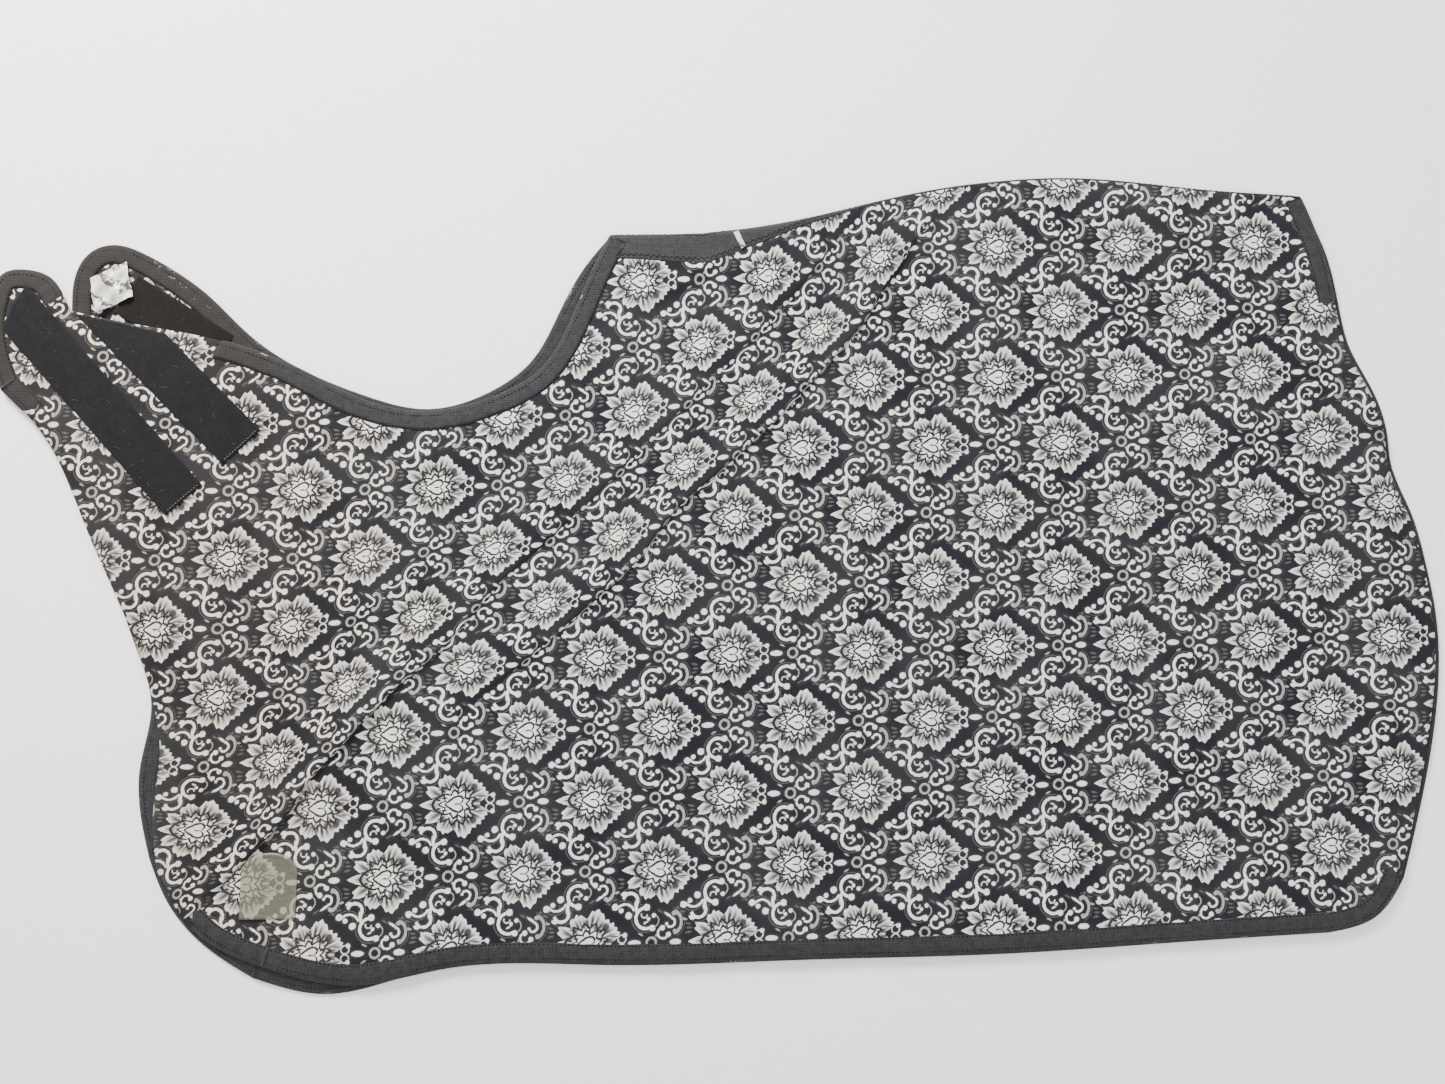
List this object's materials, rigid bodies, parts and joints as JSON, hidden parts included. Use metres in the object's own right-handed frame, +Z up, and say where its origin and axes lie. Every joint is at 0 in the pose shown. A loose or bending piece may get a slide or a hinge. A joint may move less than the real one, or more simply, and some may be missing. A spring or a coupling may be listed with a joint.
{
  "type": "horse riding rug",
  "caption": "Printed fleece riding rug with saddle cut-out and hook-and-loop front flaps, folded in half along the back seam and laid flat.",
  "frame": {"origin": "on the floor, under the middle of the folded rug's bounding box", "axes": "+X along the back towards the tail, +Y towards the back seam, +Z up"},
  "size_m": [1.5934, 0.8903, 0.014],
  "materials": {
    "printed_fleece": "brushed polar fleece, cream damask print on charcoal",
    "binding_tape": "matt grey knitted binding tape",
    "hook_strip": "matt black-brown hook tape",
    "loop_strip": "brushed blue-black loop tape",
    "label_satin": "white satin label",
    "badge_rubber": "soft translucent moulded rubber"
  },
  "bodies": {
    "right_side": {"right_panel": "printed_fleece", "right_cutout_binding": "binding_tape", "right_front_binding": "binding_tape", "right_hem_binding": "binding_tape", "right_tail_binding": "binding_tape", "right_back_tape": "binding_tape", "upper_hook_strip": "hook_strip", "lower_hook_strip": "hook_strip"},
    "left_side": {"left_panel": "printed_fleece", "left_cutout_binding": "binding_tape", "left_front_binding": "binding_tape", "left_hem_binding": "binding_tape", "left_tail_binding": "binding_tape", "left_back_tape": "binding_tape", "badge": "badge_rubber"},
    "left_front_flap": {"left_flap": "printed_fleece", "left_flap_binding": "binding_tape", "upper_loop_strip": "loop_strip", "lower_loop_strip": "loop_strip"},
    "care_label_tab": {"care_label": "label_satin"},
    "size_label_tab": {"size_label": "label_satin"}
  },
  "joints": [
    {"name": "spine_fold", "type": "hinge", "parent": "right_side", "child": "left_side", "pos_m": [0.36, 0.4465, 0.006], "axis": [-0.9974, -0.0714, 0], "range_deg": [0, 180]},
    {"name": "left_flap_fold", "type": "hinge", "parent": "left_side", "child": "left_front_flap", "pos_m": [-0.535, 0.075, 0.014], "axis": [0.7071, 0.7071, 0], "range_deg": [0, 180]},
    {"name": "care_label_flip", "type": "hinge", "parent": "right_side", "child": "care_label_tab", "pos_m": [-0.694, 0.317, 0.0048], "axis": [-0.8988, -0.4384, 0], "range_deg": [0, 150]},
    {"name": "size_label_flip", "type": "hinge", "parent": "left_side", "child": "size_label_tab", "pos_m": [0.008, 0.364, 0.0128], "axis": [0, -1, 0], "range_deg": [0, 170]}
  ]
}
